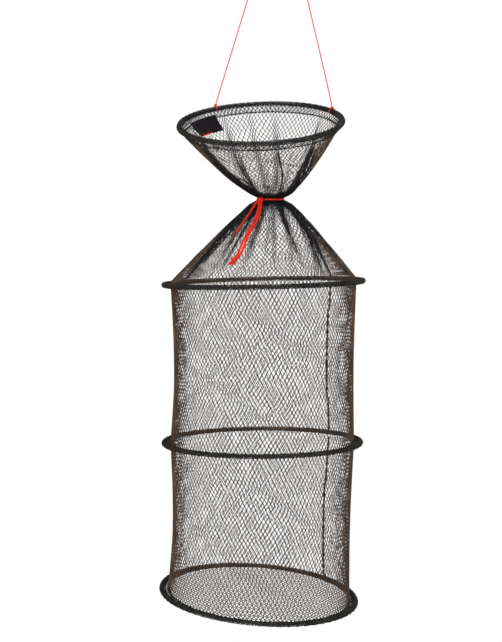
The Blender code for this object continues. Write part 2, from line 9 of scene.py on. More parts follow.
import bpy
import numpy as np
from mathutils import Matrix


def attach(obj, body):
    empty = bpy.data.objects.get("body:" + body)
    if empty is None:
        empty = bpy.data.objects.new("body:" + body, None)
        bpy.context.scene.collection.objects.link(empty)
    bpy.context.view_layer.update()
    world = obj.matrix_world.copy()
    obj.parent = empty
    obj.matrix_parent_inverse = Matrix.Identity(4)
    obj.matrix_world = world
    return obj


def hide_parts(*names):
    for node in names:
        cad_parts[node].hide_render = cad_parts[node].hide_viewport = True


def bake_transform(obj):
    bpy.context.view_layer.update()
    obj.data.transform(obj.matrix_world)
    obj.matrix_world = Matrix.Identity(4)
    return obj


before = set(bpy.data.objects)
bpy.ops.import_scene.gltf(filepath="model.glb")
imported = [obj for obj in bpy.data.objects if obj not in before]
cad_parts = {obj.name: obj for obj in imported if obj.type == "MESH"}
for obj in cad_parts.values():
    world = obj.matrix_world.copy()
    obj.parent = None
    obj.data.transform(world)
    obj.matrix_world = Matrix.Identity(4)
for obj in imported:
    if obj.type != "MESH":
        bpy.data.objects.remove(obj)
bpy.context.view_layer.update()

# Camera, with its focal length for a picture 642 pixels high, the floor and the lamps' aim
PICTURE_HEIGHT_PX = 642
FOCAL_LENGTH_PX = 1200
SENSOR_MM = 36
CAMERA_PLACE = (-0.0534, -2.392, -0.526)
CAMERA_PITCH = -5
FLOOR_HEIGHT = -1.6
LAMP_TARGET = (-0.03, 0, -0.75)
WHITE = (1, 1, 1, 1)

# Netting: cells around a panel, half a cell's height, and the open mesh's distance between twines
CELLS_AROUND = 138
MOUTH_CELLS = 112
HALF_CELL = 0.0077
HEM_HALF_CELL = 0.0048
OPEN_SPACING = 0.0042

# A twine's swing to its neighbour and drift, in shares of that distance and of half a cell
SWING_SHARE = 0.47
DRIFT_ROUND = 1.8
DRIFT_UP = 0.9

# Twine, its knots' half sizes and faces, and a net's seat
TWINE_RADIUS = 0.00068
KNOT_HALVES = (0.0013, 0.001, 0.002)
KNOT_FACES = [(0, 2, 4), (2, 1, 4), (1, 3, 4), (3, 0, 4), (2, 0, 5), (1, 2, 5), (3, 1, 5), (0, 3, 5)]
NET_THICKNESS = 0.0012
SEAT_GAP = 0.0003

# Hems: the bead round the wire, the legs' half distance and outer face, the lacing and the edge cord
BEAD_RADIUS = 0.0041
LEG_HEIGHT = 0.0008
HEM_TOP = 0.0014
LACING_RADIUS = 0.0008
LACING_PITCH = 0.0034
LACING_GAP = 0.0003
EDGE_CORD_RADIUS = 0.0011
EDGE_CORD_INSET = 0.0010

# Rings, to the centre of the wire: place, lean, radius, and the hem's width and tilt
RINGS = {
    "mouth": ((-0.0349, -0.086, -0.349), (18.3, 2.4), 0.155, 0.018, 58.0),
    "shoulder": ((-0.0284, 0.016, -0.659), (-0.8, 1.3), 0.199, 0.014, 0),
    "middle": ((-0.0305, 0.02, -0.983), (-2.6, 0.3), 0.199, 0.014, 0),
    "bottom": ((-0.0375, 0.018, -1.297), (-0.8, -4.1), 0.199, 0.014, 0),
}
NECK = ((-0.0145, 0.004, -0.492), (4.0, 0.0))

# Neck: the bunched net and its core, with radius and height as shares of the waist and half height
BUNDLE_RADIUS = 0.0265
WAIST_RADIUS = 0.023
BUNDLE_HALF_HEIGHT = 0.007
BUNDLE_PLEAT_DEPTH = 0.002
BUNDLE_RIPPLE = (0.0007, (61, 97, 43))
CORE_SIDES = 332
CORE_PROFILE = [
    (0.3, 0.62), (0.62, 0.8), (0.9, 0.98), (0.955, 0.7), (0.86, 0.25),
    (0.86, -0.25), (0.955, -0.7), (0.9, -0.98), (0.62, -0.8), (0.3, -0.62),
]

# Cuffs at the ends of the gathered nets, their edge by the drawcord, and their pleats
CUFF_INSET = 0.0015
CUFF_HEIGHT = 0.004
CUFF_SHARE = 0.02
DRAWN_GAP = 0.0004
DRAWN_RISE = 0.0025
DRAWN_FLARE = 0.0015
PLEAT_COUNT = 9
PLEAT_DEPTH = 0.0063
PLEAT_ONSET_POWER = 0.6

# The gathered nets' bulge, the swell by the neck, and the dent that clears the knot and tails
FUNNEL_BULGE = 0.009
SHOULDER_BULGE = 0.007
BULGE_POWER = 0.85
GATHERED_RIPPLE = (0.0032, (23, 37, 14))
SWELL_DEPTH = 0.009
SWELL_START = 0.02
SWELL_REACH = 0.10
DENT_DEPTH = 0.013
DENT_HALF_ANGLE = 0.45
DENT_REACH = 0.17

# Panels between the body rings: how far they draw in, and their folds and ripples
PANEL_WAIST = 0.005
PANEL_FOLD_DEPTH = 0.0018
PANEL_FOLD_COUNT = 5
PANEL_RIPPLE = (0.0018, (9, 16, 27))

# Seams, in steps of a 36-sided ring, and the lacing that winds round them
ROUND_STEP = math.tau / 36
SEAM_RADIUS = 0.0014
SEAM_LACING_PITCH = 0.0050
SEAM_LACING_REACH = 0.0020
FUNNEL_SEAM_BULK = 0.6
SIDE_SEAM_STEP = 4
FUNNEL_SEAM_STEP = 28

# Label: its sides in the same steps, then distances down the mouth's hem, and its cloth
LABEL_FIRST_STEP = 12.7
LABEL_LAST_STEP = 15.9
LABEL_START = 0.0125
LABEL_DROP = 0.0345
LABEL_THICKNESS = 0.0008
LABEL_GAP = 0.0004

# Cords and knots; the drawcord's tails and end knot are measured from the centre of its knot
LINE_RADIUS = 0.001
LINE_ROUTE = [
    (-0.12309, 0.03226, -0.30194), (-0.1152, 0.03065, -0.27625), (-0.1033, 0.02748, -0.2386),
    (-0.09, 0.02394, -0.1966), (-0.0768, 0.02043, -0.1549), (-0.0638, 0.01697, -0.1138),
    (-0.0516, 0.01373, -0.0753), (-0.0433, 0.01152, -0.05), (-0.0355, 0.00944, -0.0265),
    (-0.0244, 0.00649, -0.0098), (0, 0, 0), (0.0244, -0.00649, -0.0092),
    (0.0359, -0.00955, -0.025), (0.0425, -0.01131, -0.05), (0.049, -0.01304, -0.077),
    (0.0577, -0.01535, -0.113), (0.0696, -0.01852, -0.163), (0.0814, -0.02166, -0.213),
    (0.0933, -0.02482, -0.263), (0.10398, -0.02819, -0.31243),
]
DRAWCORD_RADIUS = 0.002
TAIL_RADIUS = 0.0022
KNOT_RADIUS = 0.0065
KNOT_ANGLE = 228
KNOT_PLACE = (-0.03509, -0.01882, -0.4936)
END_KNOT_RADIUS = 0.008
END_KNOT_CORD_RADIUS = 0.0023
END_KNOT_PLACE = (-0.052, -0.1129, -0.1161)
FRAY_COUNT = 60
FRAY_RADIUS = 0.00012
RING_KNOT_RADIUS = 0.003
RING_KNOT_ANGLES = {"left": 124.4, "right": 24.2}
RING_TURNS = {"left": 112, "right": 165}
RING_TURN_SLANT = 0.0014
KNOT_SPREAD = 1.12
BRAID_STRANDS = 4
TAIL_ROUTES = {
    "long_tail_left": [
        (-0.0025, -0.0039, -0.006), (-0.0039, -0.0161, -0.0196), (-0.0083, -0.0309, -0.0329),
        (-0.0145, -0.0437, -0.0466), (-0.0222, -0.0564, -0.0593), (-0.0297, -0.0686, -0.0724),
        (-0.036, -0.0806, -0.0856), (-0.0405, -0.0919, -0.0976), (-0.0452, -0.0996, -0.1069),
        (-0.0496, -0.1053, -0.1123),
    ],
    "long_tail_right": [
        (0.0019, -0.0052, -0.0055), (0.0006, -0.0167, -0.0204), (-0.004, -0.0317, -0.034),
        (-0.0102, -0.0449, -0.0476), (-0.0179, -0.0577, -0.0604), (-0.0252, -0.0701, -0.0732),
        (-0.0301, -0.0824, -0.0862), (-0.0349, -0.0945, -0.0982), (-0.0407, -0.1022, -0.1082),
        (-0.0456, -0.1075, -0.1129),
    ],
    "short_tail": [
        (-0.0059, -0.0007, -0.0036), (-0.0101, -0.0002, -0.0092), (-0.0159, -0.0012, -0.0189),
        (-0.0231, -0.0077, -0.03), (-0.0314, -0.0197, -0.0419), (-0.0397, -0.0347, -0.0544),
        (-0.0472, -0.0431, -0.0642),
    ],
    "short_tail_tip": [
        (-0.0474, -0.0433, -0.0645), (-0.0511, -0.0464, -0.0689), (-0.0547, -0.0495, -0.0732),
    ],
}

# Folds that take up the gathered net: degrees at the ring and at the neck, and share of the spare
FOLD_HALF_WIDTH = 0.0042
FOLD_WIDENING = 1.5
FOLD_WIDENING_REACH = 0.1
FUNNEL_FOLDS = [
    (307, 334, 3.6), (222, 205, 3.0), (273, 269, 0.4), (290, 300, 0.4), (246, 238, 0.5), (34, 24, 1.6),
    (352, 356, 1.2), (78, 74, 1.0), (120, 130, 1.3), (98, 100, 0.7), (160, 165, 1.2), (190, 188, 1.2),
]
SHOULDER_FOLDS = [
    (304, 332, 3.6), (336, 352, 1.2), (287, 296, 0.6), (268, 270, 0.3), (214, 207, 3.0), (239, 240, 0.9),
    (20, 20, 1.1), (60, 62, 1.2), (105, 104, 1.4), (82, 82, 0.7), (150, 152, 1.2), (128, 128, 0.7),
    (186, 184, 1.4),
]


# Shapes


def ring_axes(lean):
    """Axes of a ring as columns: leant back about X, then to the right about Y."""
    (back_x, right_x), (back_y, right_y) = np.cos(np.radians(lean)), np.sin(np.radians(lean))
    tip = np.array([[1, 0, 0], [0, back_x, -back_y], [0, back_y, back_x]])
    turn = np.array([[right_x, 0, -right_y], [0, 1, 0], [right_y, 0, right_x]])
    return turn @ tip


def on_ring(place, lean, radius, height, angle):
    """Points at a radius, height and angle in a ring's frame: place plus axes times the local point."""
    radius, height, angle = np.broadcast_arrays(radius, height, angle)
    local = np.stack([radius * np.cos(angle), radius * np.sin(angle), height], axis=-1)
    return place + local @ ring_axes(lean).T


def level(angle):
    """Level unit vectors at an angle: its cosine, its sine and nought."""
    return np.stack([np.cos(angle), np.sin(angle), np.zeros_like(angle)], axis=-1)


def turned_from(angle, middle):
    """Angle measured from a middle one, between minus and plus half a turn."""
    return (angle - middle + math.pi) % math.tau - math.pi


def gather_table(folds, full_radius, narrow, wide):
    """How far round each twine moves when a net is drawn in, by share of the way and by angle.

    The net between the folds keeps its cells' full width, so the twines' density is the local
    radius over the full radius. The spare twines stand in bells about each fold's line, whose
    width and height both grow with the root of its share, and the width again towards the neck.
    The place of a twine is the inverse of the density's running sum.
    """
    levels, fine = np.linspace(0, 1, 61), np.linspace(0, math.tau, 1441)
    moves = []
    for share in levels:
        radius = narrow + (wide - narrow) * share
        open_part = min(1.0, radius / full_radius)
        spare = np.zeros_like(fine)
        for at_ring, at_neck, weight in folds:
            middle = math.radians(at_neck + (at_ring - at_neck) * share)
            off = turned_from(fine, middle) * radius
            widening = 1 + FOLD_WIDENING * math.exp(-share / FOLD_WIDENING_REACH)
            half_width = FOLD_HALF_WIDTH * math.sqrt(weight) * widening
            spare += half_width * np.exp(-((off / half_width) ** 2) / 2)
        density = open_part + (1 - open_part) * spare / max(spare[:-1].mean(), 1e-9)
        run = np.concatenate([[0], np.cumsum((density[1:] + density[:-1]) / 2)]) * fine[1]
        run *= math.tau / run[-1]
        start = -(run - fine).mean()
        inside = (fine - start) % math.tau
        moves.append(np.interp(inside, run, fine) - start - inside)
    return np.array(moves)


def gathered_angle(angle, share, table):
    """Angle of each twine in a gathered net: its own plus the table's, blended from the nearest four."""
    rows, columns = np.subtract(table.shape, 1)
    row, column = np.clip(share, 0, 1) * rows, (angle / math.tau) % 1 * columns
    low_row, low_column = np.minimum(row.astype(int), rows - 1), np.minimum(column.astype(int), columns - 1)
    down, right = row - low_row, column - low_column
    first, second = (
        table[each, low_column] * (1 - right) + table[each, low_column + 1] * right
        for each in (low_row, low_row + 1)
    )
    return angle + first * (1 - down) + second * down


def ripple(angle, along, depth, counts):
    """Small uneven folds: a sum of sines round the net whose phases drift along it."""
    total = np.zeros(np.broadcast(angle, along).shape)
    for order, count in enumerate(counts):
        phase = 2.1 * order + (1.3 + 0.7 * order) * along
        total = total + np.sin(count * angle + phase) / (1 + 0.4 * order)
    return depth * total / len(counts)


def hem_profile(ring, along, off):
    """Radius and height at a distance down a ring's hem, and off its middle to its upper side."""
    hoop_radius, tilt = RINGS[ring][2], math.radians(RINGS[ring][4])
    radius = hoop_radius - along * math.cos(tilt) - off * math.sin(tilt)
    return radius, off * math.cos(tilt) - along * math.sin(tilt)


def gathered(ring, bulge, side, folds, cells):
    """Surface of a gathered net by angle and by share of the way from the neck to a ring.

    Between two short cuffs a point runs straight from the drawcord to the ring's hem. It is
    pushed out by a half sine of the share times the bulge, by a swell close to the neck, by
    pleats that are deepest near the neck and by small ripples. It is dented where the
    drawcord's knot and tails lie.
    """
    place, lean, hoop_radius, hem_width = RINGS[ring][:4]
    table = np.zeros((2, 2))
    if folds:
        full_radius = cells * 2 * OPEN_SPACING / math.tau
        table = gather_table(folds, full_radius, BUNDLE_RADIUS, hoop_radius - hem_width)

    def surface(angle, along):
        rise_low = np.clip(along / CUFF_SHARE, 0, 1)
        rise_high = np.clip((along - 1 + CUFF_SHARE) / CUFF_SHARE, 0, 1)
        share = np.clip((along - CUFF_SHARE) / (1 - 2 * CUFF_SHARE), 0, 1)
        drawn = gathered_angle(angle, share, table)
        low_height = side * (DRAWCORD_RADIUS + DRAWN_GAP + DRAWN_RISE * rise_low)
        low = on_ring(*NECK, BUNDLE_RADIUS + DRAWN_FLARE * rise_low, low_height, drawn)
        from_hem = SEAT_GAP + CUFF_HEIGHT * (1 - rise_high)
        if side > 0:
            radius, height = hem_profile(ring, hem_width + from_hem, 0)
        else:
            radius, height = hoop_radius - hem_width + NET_THICKNESS / 2, HEM_TOP + from_hem
        high = on_ring(place, lean, radius, height, drawn)
        pleats = np.sin(math.pi * share**PLEAT_ONSET_POWER) * (1 - share) * np.cos(PLEAT_COUNT * drawn)
        small = ripple(angle, 3 * share, *GATHERED_RIPPLE) * np.sin(math.pi * share) ** 0.7
        swell = np.exp(-share / SWELL_REACH) * (1 - np.exp(-share / SWELL_START))
        from_knot = turned_from(drawn, math.radians(KNOT_ANGLE)) / DENT_HALF_ANGLE
        dent = np.exp(-(from_knot**2) - (share / DENT_REACH) ** 2)
        push = bulge * np.sin(math.pi * share**BULGE_POWER) + small
        push = push + SWELL_DEPTH * swell + PLEAT_DEPTH * pleats - DENT_DEPTH * dent
        return low + (high - low) * share[..., None] + level(drawn) * push[..., None]

    return surface


def panel(top, bottom):
    """Surface of a tubular panel by angle and by share of the way up from one ring to the next.

    Straight from ring to ring, drawn in at half height by a half sine, with shallow folds that
    are cosines of the angle and with small ripples.
    """

    def surface(angle, along):
        ends = []
        for name, sign in ((bottom, 1), (top, -1)):
            place, lean, hoop_radius, hem_width = RINGS[name][:4]
            wide = hoop_radius - hem_width + NET_THICKNESS / 2
            ends.append(on_ring(place, lean, wide, sign * (HEM_TOP + SEAT_GAP), angle))
        draw = np.sin(math.pi * along)
        folds = PANEL_FOLD_DEPTH * np.cos(PANEL_FOLD_COUNT * angle) - PANEL_WAIST
        push = draw * (folds + ripple(angle, 2 * along, *PANEL_RIPPLE))
        return ends[0] + (ends[1] - ends[0]) * along[..., None] + level(angle) * push[..., None]

    return surface


def hem(ring):
    """Surface of a hem: in along the upper leg, round the bead's circle and back along the lower leg.

    The profile is turned about the wire by the hem's tilt.
    """
    place, lean, hoop_radius, hem_width, tilt = RINGS[ring]
    tilt = math.radians(tilt)
    closing = math.asin(LEG_HEIGHT / BEAD_RADIUS)
    leg = hem_width - BEAD_RADIUS * math.cos(closing)
    arc = 2 * (math.pi - closing) * BEAD_RADIUS
    whole = 2 * leg + arc

    def surface(angle, along):
        run = along * whole
        round_bead = np.clip((run - leg) / BEAD_RADIUS, 0, arc / BEAD_RADIUS)
        turned = math.pi - closing - round_bead
        flat = np.clip(np.abs(run - whole / 2) - arc / 2, 0, leg)
        x, z = BEAD_RADIUS * np.cos(turned) - flat, BEAD_RADIUS * np.sin(turned)
        radius = hoop_radius + x * math.cos(tilt) - z * math.sin(tilt)
        return on_ring(place, lean, radius, x * math.sin(tilt) + z * math.cos(tilt), angle)

    return surface, whole


# Meshes


def unit(vectors):
    """Vectors scaled to length one."""
    return vectors / np.maximum(np.linalg.norm(vectors, axis=-1, keepdims=True), 1e-12)


def add_object(name, data, place=(0, 0, 0), turn=(0, 0, 0)):
    """A new object in the scene."""
    item = bpy.data.objects.new(name, data)
    item.location, item.rotation_euler = place, turn
    bpy.context.scene.collection.objects.link(item)
    return item


def new_mesh(name, points, quads, triangles=(), uv=None):
    """An object from arrays of points and of faces, with an optional UV for each point."""
    mesh = bpy.data.meshes.new(name)
    points = np.asarray(points, np.float32).reshape(-1, 3)
    corners = np.concatenate([np.ravel(quads), np.ravel(triangles)]).astype(np.int32)
    sizes = np.repeat([4, 3], [len(quads), len(triangles)]).astype(np.int32)
    mesh.vertices.add(len(points))
    mesh.vertices.foreach_set("co", points.ravel())
    mesh.loops.add(len(corners))
    mesh.loops.foreach_set("vertex_index", corners)
    mesh.polygons.add(len(sizes))
    mesh.polygons.foreach_set("loop_start", (np.cumsum(sizes) - sizes).astype(np.int32))
    mesh.polygons.foreach_set("loop_total", sizes)
    mesh.update(calc_edges=True)
    mesh.shade_smooth()
    if uv is not None:
        layer = mesh.uv_layers.new(name="surface")
        layer.uv.foreach_set("vector", np.asarray(uv, np.float32).reshape(-1, 2)[corners].ravel())
    return add_object(name, mesh)


def numbered(*shape):
    """An array of a shape that holds its places' numbers."""
    return np.arange(math.prod(shape)).reshape(shape)


def tube_faces(index):
    """Quads between rows of points whose last column meets the first."""
    turned = np.roll(index, -1, axis=-1)
    return np.stack([index[:-1], turned[:-1], turned[1:], index[1:]], axis=-1).reshape(-1, 4)


def rod_faces(index):
    """Quads of square rods by row, rod and corner, with their ends closed."""
    return np.concatenate([tube_faces(index), index[0][:, ::-1], index[-1]])


def fan(ring, pole):
    """Triangles from each side of a ring of points to its pole."""
    return np.stack([ring, np.roll(ring, -1), np.full(len(ring), pole)], axis=1)


def net_mesh(name, surface, length, cells=CELLS_AROUND, height=HALF_CELL, split=1, rough=0.07, drift=1.0,
             seed=1):
    """Knotted mesh on a surface: square-sided twines up it, and an eight-sided knot at each meeting.

    Twine k starts at an equal share of the round. Each half cell it swings to its left and then
    to its right neighbour, by a little less than half the spacing. Each knot is shifted by chance,
    and the whole mesh drifts by slow sums of sines that fade at its edges.
    UV holds the tightness: one less the twines' spacing over the open mesh's spacing. The netting's finish
    paints shade by it where the net is bunched.
    """
    halves = max(2, round(length / height))
    rows = np.arange(halves * split + 1)
    twines = np.arange(2 * cells)
    spacing = math.pi / cells
    swing = (1 - 2 * np.abs((rows / split) % 2 - 1))[:, None] * np.where(twines % 2 == 0, 1, -1)
    chance = np.random.default_rng(seed).normal(0, rough, (2, len(rows), len(twines)))
    knot_of = (twines - (swing < 0)) % len(twines)
    moved = np.take_along_axis(chance, np.broadcast_to(knot_of, chance.shape), axis=2) * np.abs(swing)
    moved[:, [0, -1]] = 0
    down = rows[:, None] / rows[-1]
    fade = np.sin(math.pi * down) ** 0.5 * drift
    start = twines * spacing
    askew = ripple(start, 5 * down, 1.0, (2, 5, 3)) + ripple(3 * start, 17 * down, 0.5, (3, 4))
    slip = ripple(start + seed, 7 * down, 1.0, (3, 7, 11))
    angle = start + (swing * SWING_SHARE + moved[0] + DRIFT_ROUND * fade * askew) * spacing
    along = down + (moved[1] + DRIFT_UP * fade * slip) * split / rows[-1]
    points = surface(angle, along)

    across = np.roll(points, -1, axis=1) - np.roll(points, 1, axis=1)
    side, ahead = unit(across), unit(np.gradient(points, axis=0))
    normal = unit(np.cross(side, ahead))
    tight = np.clip(1 - np.linalg.norm(across, axis=-1) / 2 / OPEN_SPACING, 0, 1)
    vertices = points[:, :, None] + TWINE_RADIUS * np.stack([side, -normal, -side, normal], axis=2)
    index = numbered(*vertices.shape[:3])

    row, twine = np.nonzero(swing[::split] > 0.5)
    row = row * split
    middle = (points[row, twine] + points[row, (twine + 1) % len(twines)]) / 2
    side, normal = side[row, twine], normal[row, twine]
    halves = [half * axis for half, axis in zip(KNOT_HALVES, (side, normal, unit(np.cross(side, normal))))]
    corners = np.stack([middle + sign * half for half in halves for sign in (1, -1)], axis=1)
    triangles = index.size + 6 * np.arange(len(row))[:, None, None] + np.array(KNOT_FACES)
    u = np.concatenate([np.repeat(tight.ravel(), 4), np.repeat(tight[row, twine], 6)])
    every = np.concatenate([vertices.reshape(-1, 3), corners.reshape(-1, 3)])
    return new_mesh(name, every, rod_faces(index), triangles.reshape(-1, 3), np.stack([u, u], axis=1))


def rod_mesh(name, starts, ends, radius, up):
    """Short square rods from each start to its end."""
    ahead = unit(ends - starts)
    side = unit(np.cross(ahead, np.broadcast_to(up, ahead.shape)))
    normal = np.cross(side, ahead)
    around = np.stack([side, -normal, -side, normal], axis=1) * radius
    vertices = np.stack([starts[:, None] + around, ends[:, None] + around])
    return new_mesh(name, vertices, rod_faces(numbered(*vertices.shape[:3])))


def run_of(path):
    """Distance run at each point of a path, or of several side by side."""
    steps = np.linalg.norm(np.diff(path, axis=0), axis=-1)
    return np.concatenate([np.zeros_like(steps[:1]), np.cumsum(steps, axis=0)])


def length_of(path):
    """Length along a path."""
    return float(run_of(path)[-1])


def points_at(wanted, run, points):
    """Points of a path at wanted distances, on straight lines between the given points."""
    return np.column_stack([np.interp(wanted, run, points[:, k]) for k in range(3)])


def smooth_route(points, step):
    """Points about a step apart on a smooth cubic curve through every given point."""
    points = np.asarray(points, float)
    held = np.vstack([2 * points[0] - points[1], points, 2 * points[-1] - points[-2]])
    a, b, c, d = held[:-3, None], held[1:-2, None], held[2:-1, None], held[3:, None]
    t = np.linspace(0, 1, 24, endpoint=False)[None, :, None]
    fine = 0.5 * (2 * b + (c - a) * t + (2 * a - 5 * b + 4 * c - d) * t**2 + (3 * b - a - 3 * c + d) * t**3)
    fine = np.vstack([fine.reshape(-1, 3), points[-1:]])
    run = run_of(fine)
    return points_at(np.linspace(0, run[-1], max(2, round(run[-1] / step) + 1)), run, fine)


def cord_mesh(name, path, radius, up, sides, closed=False, relief=0.0, taper=1.0):
    """A round cord along a path: path plus radius times a circle square to it, with a braid's relief.

    The relief is the larger of two sets of ridges that wind round the cord opposite ways. U goes
    round the cord and V along it, both in turns. Open ends are closed by a low dome of two rings
    and a pole.
    """
    steps = np.roll(path, -1, axis=0) - np.roll(path, 1, axis=0) if closed else np.gradient(path, axis=0)
    ahead = unit(steps)
    first = unit(up - ahead * np.sum(np.asarray(up) * ahead, axis=1, keepdims=True))
    second = np.cross(ahead, first)
    u = np.arange(sides)[None] / sides
    v = run_of(path)[:, None] / (math.tau * radius)
    left, right = (np.abs(np.sin(BRAID_STRANDS * math.pi * (u + way * v))) for way in (1, -1))
    width = radius * (1 + relief * (np.maximum(left, right) - 0.7)) * np.reshape(taper, (-1, 1))
    turn = math.tau * u[..., None]
    circle = np.cos(turn) * first[:, None] + np.sin(turn) * second[:, None]
    rings = path[:, None] + width[..., None] * circle
    uv = np.stack(np.broadcast_arrays(u, v), axis=-1)
    if closed:
        index = numbered(*rings.shape[:2])
        return new_mesh(name, rings, tube_faces(np.vstack([index, index[:1]])), uv=uv)

    domes = [
        [path[end] + sign * out * radius * ahead[end] + (rings[end] - path[end]) * share
         for out, share in ((0.35, 0.88), (0.62, 0.55))]
        for end, sign in ((0, -1), (-1, 1))
    ]
    rings = np.concatenate([domes[0][::-1], rings, domes[1]])
    uv = np.concatenate([uv[:1], uv[:1], uv, uv[-1:], uv[-1:]]).reshape(-1, 2)
    poles = path[[0, -1]] + 0.75 * radius * ahead[[0, -1]] * [[-1], [1]]
    index = numbered(*rings.shape[:2])
    fans = np.concatenate([fan(index[0][::-1], index.size), fan(index[-1], index.size + 1)])
    uv = np.concatenate([uv, [[0.5, uv[0, 1]], [0.5, uv[-1, 1]]]])
    return new_mesh(name, np.concatenate([rings.reshape(-1, 3), poles]), tube_faces(index), fans, uv)


def overhand(centre, radius, cord_radius, axes):
    """Path of a tight overhand knot, as a trefoil.

    x = sin t + 2 sin 2t, y = cos t - 2 cos 2t and z = -1.6 sin 3t, scaled to the knot's radius.
    """
    t = np.linspace(0, math.tau, 96, endpoint=False)
    local = [np.sin(t) + 2 * np.sin(2 * t), np.cos(t) - 2 * np.cos(2 * t), -1.6 * np.sin(3 * t)]
    return centre + np.stack(local, axis=1) * (radius - cord_radius) / 3 @ np.asarray(axes)


# Materials


class Nodes:
    """Short ways to add and link the nodes of one material or world."""

    def __init__(self, owner, numbers, shader="Principled BSDF"):
        owner.use_nodes = True
        self.owner, self.tree = owner, owner.node_tree
        self.shader = self.tree.nodes[shader]
        for name, value in numbers.items():
            self.put(self.shader, name, value)

    def put(self, node, key, value):
        """Sets a node's input, or links another node's output to it."""
        if isinstance(value, bpy.types.NodeSocket):
            self.tree.links.new(value, node.inputs[key])
        else:
            node.inputs[key].default_value = value

    def add(self, kind, **values):
        node = self.tree.nodes.new(kind)
        for key, value in values.items():
            if hasattr(node, key):
                setattr(node, key, value)
            else:
                self.put(node, key.replace("_", " "), value)
        return node

    def place(self, output="Object", scale=(1, 1, 1), turn=(0, 0, 0)):
        """Coordinates: the object's own or its UV, scaled and turned."""
        plain = self.add("ShaderNodeTexCoord").outputs[output]
        return self.add("ShaderNodeMapping", Vector=plain, Scale=scale, Rotation=turn).outputs["Vector"]

    def noise(self, vector, scale, detail=4.0):
        return self.add("ShaderNodeTexNoise", Vector=vector, Scale=scale, Detail=detail).outputs["Fac"]

    def wave(self, vector, scale, direction):
        node = self.add("ShaderNodeTexWave", bands_direction=direction, Vector=vector, Scale=scale)
        return node.outputs["Fac"]

    def maths(self, operation, a, b):
        node = self.add("ShaderNodeMath", operation=operation)
        self.put(node, 0, a)
        self.put(node, 1, b)
        return node.outputs[0]

    def total(self, *pairs):
        """Sum of factors times their shares."""
        whole = 0.0
        for factor, share in pairs:
            whole = self.maths("ADD", whole, self.maths("MULTIPLY", factor, share))
        return whole

    def colours(self, factor, stops):
        """Colours by a factor, as stops of place and colour."""
        ramp = self.add("ShaderNodeValToRGB", Fac=factor)
        elements = ramp.color_ramp.elements
        while len(elements) < len(stops):
            elements.new(0.5)
        for element, (place, colour) in zip(elements, stops):
            element.position = place
            element.color = (*colour, 1)
        self.put(self.shader, "Base Color", ramp.outputs["Color"])
        return ramp.outputs["Color"]

    def spread(self, factor, low, high, target):
        """A number by a factor, from low to high."""
        node = self.add("ShaderNodeMapRange", Value=factor, To_Min=low, To_Max=high)
        self.put(self.shader, target, node.outputs["Result"])

    def bump(self, height, strength, distance):
        node = self.add("ShaderNodeBump", Height=height, Strength=strength, Distance=distance)
        self.put(self.shader, "Normal", node.outputs["Normal"])


def new_finish(name, roughness, specular=0.5, metallic=0.0):
    """A new material's nodes."""
    numbers = {"Roughness": roughness, "Specular IOR Level": specular, "Metallic": metallic}
    return Nodes(bpy.data.materials.new(name), numbers)


def twine_finish(name, dark, light, dusty, bunched_shade_tone=None):
    """Twisted twine: paler where it is rubbed, darker where it is bunched as painted shade, its yarns' lay
    as bump.
    """
    nodes = new_finish(name, 0.8, specular=0.25)
    at = nodes.place()
    fine = nodes.noise(at, 420.0, 3.0)
    rubbed = nodes.total((nodes.noise(at, 22.0, 5.0), 0.6), (fine, 0.4))
    tone = nodes.colours(rubbed, [(0.30, dark), (0.52, light), (0.72, dusty)])
    # Painted shade: the twine turns near black where the net is bunched, by the tightness in its UV
    if bunched_shade_tone:
        tight = nodes.add("ShaderNodeSeparateXYZ", Vector=nodes.place("UV")).outputs["X"]
        reach = nodes.add("ShaderNodeMapRange", interpolation_type="SMOOTHSTEP", Value=tight, From_Max=0.6)
        mix = nodes.add("ShaderNodeMix", data_type="RGBA")
        for key, value in ((0, reach.outputs["Result"]), (6, tone), (7, (*bunched_shade_tone, 1))):
            nodes.put(mix, key, value)
        nodes.put(nodes.shader, "Base Color", mix.outputs[2])
    nodes.spread(fine, 0.62, 0.85, "Roughness")
    nodes.bump(nodes.wave(nodes.place(turn=(0.5, 0.6, 0.0)), 900.0, "DIAGONAL"), 0.5, 0.0001)
    return nodes.owner


def wire_finish():
    """Ring wire: dull coated steel with drawn streaks and small rubbed spots."""
    nodes = new_finish("ring_wire", 0.45, metallic=0.75)
    rubbed = nodes.noise(nodes.place(), 60.0, 6.0)
    streaks = nodes.noise(nodes.place(scale=(1, 1, 30)), 90.0, 3.0)
    coat, worn, bare = (0.05, 0.052, 0.048), (0.10, 0.105, 0.098), (0.24, 0.24, 0.23)
    nodes.colours(rubbed, [(0.35, coat), (0.6, worn), (0.78, bare)])
    nodes.spread(streaks, 0.35, 0.6, "Roughness")
    nodes.bump(streaks, 0.2, 0.0002)
    return nodes.owner


def braid_finish(name, dip_shade, main, crest_highlight):
    """Braided cord on its own UV: two sets of yarns that cross, painted shade where they dip, painted
    highlight on their crests, and fuzz.
    """
    nodes = new_finish(name, 0.7, specular=0.2)
    ways = [nodes.place("UV", scale=(BRAID_STRANDS, way * BRAID_STRANDS, 1)) for way in (1, -1)]
    first, second = (nodes.wave(at, math.pi / 2, "DIAGONAL") for at in ways)
    fuzz = nodes.noise(nodes.place(), 900.0, 4.0)
    faded = nodes.noise(nodes.place(), 35.0, 3.0)
    # Painted shade in the yarns' dips and painted highlight on their crests, with fuzz and random fading
    tone = nodes.total((nodes.maths("MAXIMUM", first, second), 0.6), (fuzz, 0.25), (faded, 0.2))
    nodes.colours(tone, [(0.25, dip_shade), (0.55, main), (0.92, crest_highlight)])
    nodes.spread(fuzz, 0.45, 0.7, "Roughness")
    nodes.bump(tone, 0.6, 0.0003)
    return nodes.owner


